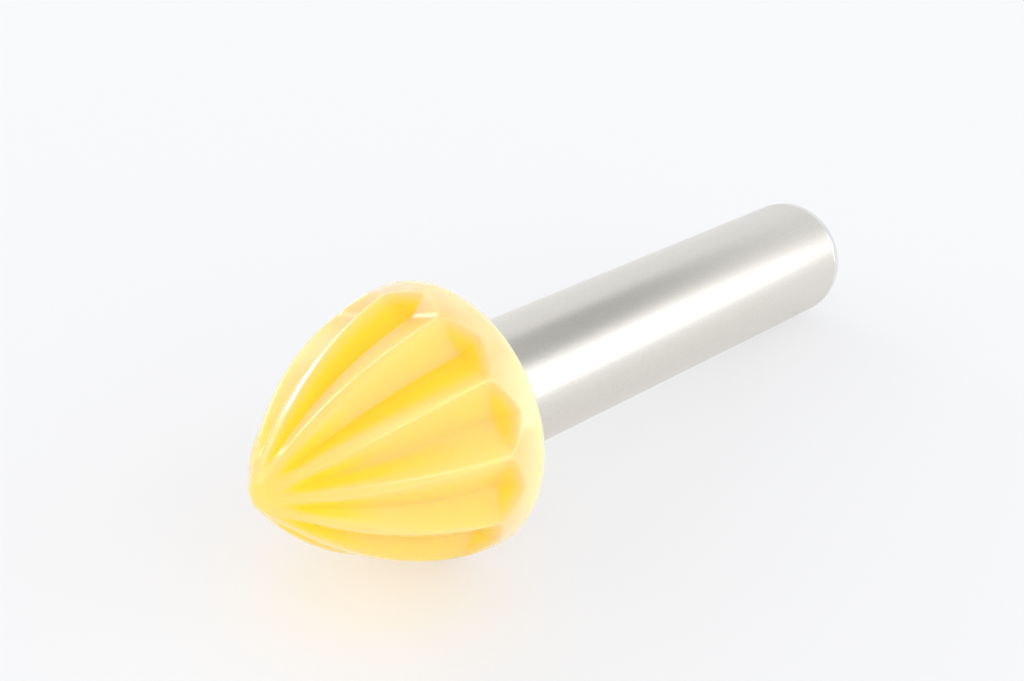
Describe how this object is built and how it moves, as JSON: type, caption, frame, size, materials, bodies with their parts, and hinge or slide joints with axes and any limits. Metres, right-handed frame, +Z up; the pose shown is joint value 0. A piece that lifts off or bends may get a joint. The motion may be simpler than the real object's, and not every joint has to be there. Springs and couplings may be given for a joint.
{
  "type": "hand citrus reamer",
  "caption": "Hand citrus reamer: pointed translucent yellow fluted head with a smooth rim, on a straight brushed steel tube handle with a polished rounded end.",
  "frame": {"origin": "on the table, under the middle of the box round the tool as it lies on the head's rim and the handle's end", "axes": "+X from the head's tip towards the handle's end, level; +Z up; the tool's own axis dips 6.4 degrees from +X"},
  "size_m": [0.1628, 0.051, 0.0507],
  "materials": {
    "head_plastic": "glossy translucent moulded plastic",
    "brushed_tube": "fine brushed",
    "polished_cap": "mirror polished stainless",
    "turned_steel": "turned",
    "brass_insert": "turned",
    "white_seal": "matt",
    "black_seal": "matt"
  },
  "bodies": {
    "root": {"reamer_head": "head_plastic", "threaded_insert": "brass_insert", "joining_stud": "turned_steel", "neck_gasket": "white_seal", "front_plug": "turned_steel", "handle_tube": "brushed_tube", "end_cap": "polished_cap", "cap_o_ring": "black_seal"}
  },
  "joints": []
}
